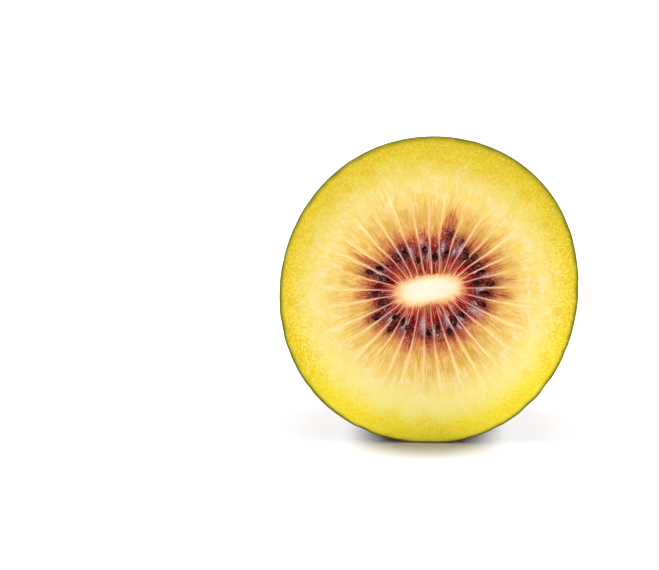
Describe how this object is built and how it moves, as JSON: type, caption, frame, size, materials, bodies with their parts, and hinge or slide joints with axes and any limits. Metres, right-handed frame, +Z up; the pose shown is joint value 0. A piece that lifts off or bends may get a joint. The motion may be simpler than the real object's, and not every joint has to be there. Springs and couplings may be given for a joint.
{
  "type": "red kiwi fruit half",
  "caption": "Half of a red kiwi fruit, cut straight across, with its radiating red and yellow flesh facing out, resting on its skin side.",
  "frame": {"origin": "on the plane of the resting flat, under the middle of the fruit's bounding box", "axes": "+Z up, the cut face looks along -Y and 12 degrees up, the stem end points along +Y, +X to the right of the cut face"},
  "size_m": [0.049, 0.0368, 0.0492],
  "materials": {
    "skin": "satin, olive-brown hairless peel with pale specks",
    "flesh": "moist cut flesh, yellow with a red ring and a cream core",
    "seed": "glossy black-brown seeds"
  },
  "bodies": {
    "root": {"kiwi_half": "skin"}
  },
  "joints": []
}
